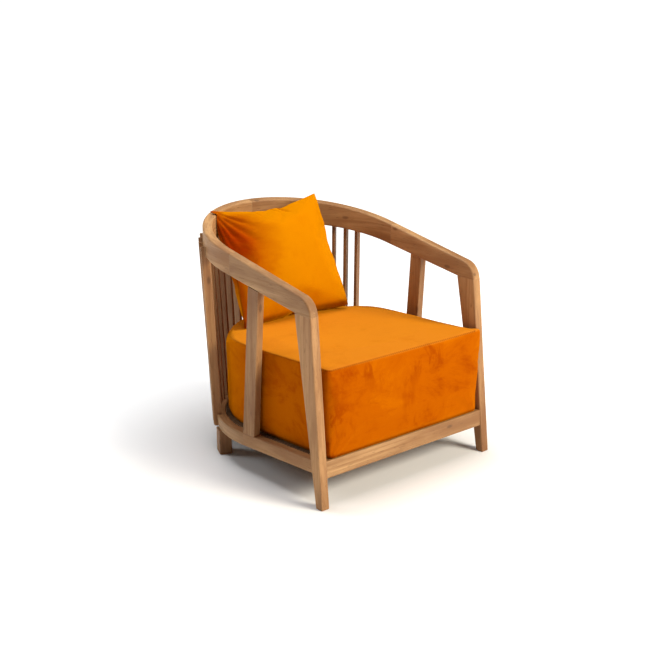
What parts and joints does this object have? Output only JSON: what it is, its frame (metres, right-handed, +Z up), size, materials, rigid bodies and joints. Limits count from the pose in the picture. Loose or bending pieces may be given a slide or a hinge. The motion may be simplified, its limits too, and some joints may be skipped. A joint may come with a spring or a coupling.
{
  "type": "wooden armchair",
  "caption": "Barrel-backed lounge armchair: curved wooden arm rail on tapered legs and upright slats, with a thick D-shaped velvet seat cushion and a square throw pillow.",
  "frame": {"origin": "on the floor, in the middle of the chair's outline", "axes": "+Z up, the chair faces -Y (front of the seat towards -Y, back towards +Y), +X is to a viewer's right when they look at the chair from the front"},
  "size_m": [0.665, 0.7739, 0.718],
  "materials": {
    "frame_wood": "satin",
    "plywood": "matte",
    "seat_fabric": "velvet",
    "pillow_fabric": "velvet"
  },
  "bodies": {
    "frame": {"leg_front_left": "frame_wood", "leg_front_right": "frame_wood", "arm_left": "frame_wood", "arm_right": "frame_wood", "rail_curve_left": "frame_wood", "rail_curve_right": "frame_wood", "post_left": "frame_wood", "post_right": "frame_wood", "rail_side_left": "frame_wood", "rail_side_right": "frame_wood", "ring_corner_left": "frame_wood", "ring_corner_right": "frame_wood", "leg_rear_left": "frame_wood", "leg_rear_right": "frame_wood", "rail_front": "frame_wood", "ring_back": "frame_wood", "slat_left_01": "frame_wood", "slat_left_02": "frame_wood", "slat_left_03": "frame_wood", "slat_left_04": "frame_wood", "slat_left_05": "frame_wood", "slat_left_06": "frame_wood", "slat_left_07": "frame_wood", "slat_left_08": "frame_wood", "slat_left_09": "frame_wood", "slat_left_10": "frame_wood", "slat_right_01": "frame_wood", "slat_right_02": "frame_wood", "slat_right_03": "frame_wood", "slat_right_04": "frame_wood", "slat_right_05": "frame_wood", "slat_right_06": "frame_wood", "slat_right_07": "frame_wood", "slat_right_08": "frame_wood", "slat_right_09": "frame_wood", "slat_right_10": "frame_wood", "seat_deck": "plywood", "bearer_left": "frame_wood", "bearer_right": "frame_wood", "corner_block_left": "frame_wood", "corner_block_right": "frame_wood"},
    "cushion": {"seat_cushion": "seat_fabric"},
    "pillow": {"throw_pillow": "pillow_fabric"}
  },
  "joints": [
    {"name": "cushion_lift", "type": "slide", "parent": "frame", "child": "cushion", "axis": [0, 0, 1], "range_m": [0, 0.14]},
    {"name": "pillow_lift", "type": "slide", "parent": "cushion", "child": "pillow", "axis": [0, 0, 1], "range_m": [0, 0.3]}
  ]
}
